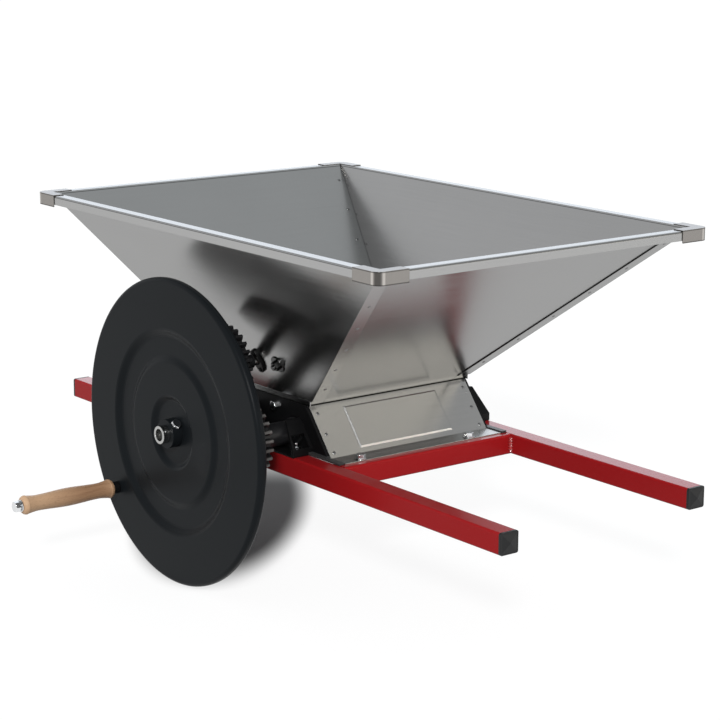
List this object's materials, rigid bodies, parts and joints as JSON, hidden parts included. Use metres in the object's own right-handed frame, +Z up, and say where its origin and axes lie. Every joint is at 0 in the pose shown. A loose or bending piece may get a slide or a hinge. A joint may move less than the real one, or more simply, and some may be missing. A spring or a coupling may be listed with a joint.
{
  "type": "hand cranked grape crusher",
  "caption": "Hand cranked grape crusher: sheet steel hopper over geared fluted rolls on a rail frame, turned by a flywheel with a wooden grip.",
  "frame": {"origin": "middle of the crushing box between the rolls, in the plane of the rails' undersides that rests on a vat's rim", "axes": "+X along the rails, +Y along the roll shafts away from the flywheel, +Z up"},
  "size_m": [1.067, 0.7661, 0.5272],
  "materials": {
    "red_paint": "gloss red enamel",
    "black_plastic": "moulded black plastic",
    "black_steel": "satin black paint",
    "zinc_steel": "bright zinc plate",
    "stainless_sheet": "fine brushed stainless sheet",
    "bright_steel": "turned bright steel",
    "roll_aluminium": "satin cast aluminium",
    "gear_iron": "dark cast iron with machined teeth",
    "black_iron": "satin black painted casting",
    "beech": "turned oiled beech"
  },
  "bodies": {
    "frame": {"drive_rail": "red_paint", "far_rail": "red_paint", "front_cross_member": "red_paint", "rear_cross_member": "red_paint", "frame_welds": "red_paint", "rail_end_caps": "black_plastic", "drive_side_plate": "black_steel", "far_side_plate": "black_steel", "side_plate_bolts": "zinc_steel", "plate_screws": "zinc_steel", "roll_bushes": "black_plastic", "front_skirt": "stainless_sheet", "rear_skirt": "stainless_sheet", "skirt_rivets": "zinc_steel", "skirt_bolts": "zinc_steel", "hopper_front_panel": "stainless_sheet", "hopper_rear_panel": "stainless_sheet", "hopper_drive_panel": "stainless_sheet", "hopper_far_panel": "stainless_sheet", "hopper_rivets": "zinc_steel", "rim_corner_caps": "stainless_sheet", "agitator_bushes": "black_plastic", "agitator_bush_bolts": "zinc_steel", "wall_stud": "zinc_steel"},
    "drive": {"drive_shaft": "bright_steel", "drive_roll": "roll_aluminium", "drive_roll_pin": "bright_steel", "drive_gear": "gear_iron", "drive_gear_key": "bright_steel", "drive_shaft_collar": "zinc_steel", "flywheel": "black_iron", "flywheel_hub": "black_iron", "hub_set_bolt": "zinc_steel", "handle_spindle": "zinc_steel", "handle_collar": "black_steel", "spindle_nut": "zinc_steel", "spindle_washer": "zinc_steel"},
    "driven": {"driven_shaft": "bright_steel", "driven_roll": "roll_aluminium", "driven_roll_pin": "bright_steel", "driven_gear": "gear_iron", "driven_gear_key": "bright_steel", "driven_shaft_collar": "zinc_steel"},
    "agitator": {"agitator_shaft": "bright_steel", "agitator_pegs": "bright_steel", "agitator_gear": "gear_iron", "agitator_gear_key": "bright_steel", "agitator_collar": "zinc_steel"},
    "grip": {"handle_grip": "beech"}
  },
  "joints": [
    {"name": "flywheel_spin", "type": "hinge", "parent": "frame", "child": "drive", "pos_m": [-0.048, 0, 0.056], "axis": [0, 1, 0], "continuous": true},
    {"name": "driven_spin", "type": "hinge", "parent": "frame", "child": "driven", "pos_m": [0.048, 0, 0.056], "axis": [0, 1, 0], "continuous": true},
    {"name": "agitator_spin", "type": "hinge", "parent": "frame", "child": "agitator", "pos_m": [-0.00935, 0, 0.15255], "axis": [0, 1, 0], "continuous": true},
    {"name": "grip_spin", "type": "hinge", "parent": "drive", "child": "grip", "pos_m": [-0.19655, -0.38, -0.0584], "axis": [0, 1, 0], "continuous": true}
  ],
  "couplings": [
    {"joint": "driven_spin", "follows": "flywheel_spin", "ratio": -1},
    {"joint": "agitator_spin", "follows": "flywheel_spin", "ratio": -0.85714}
  ]
}
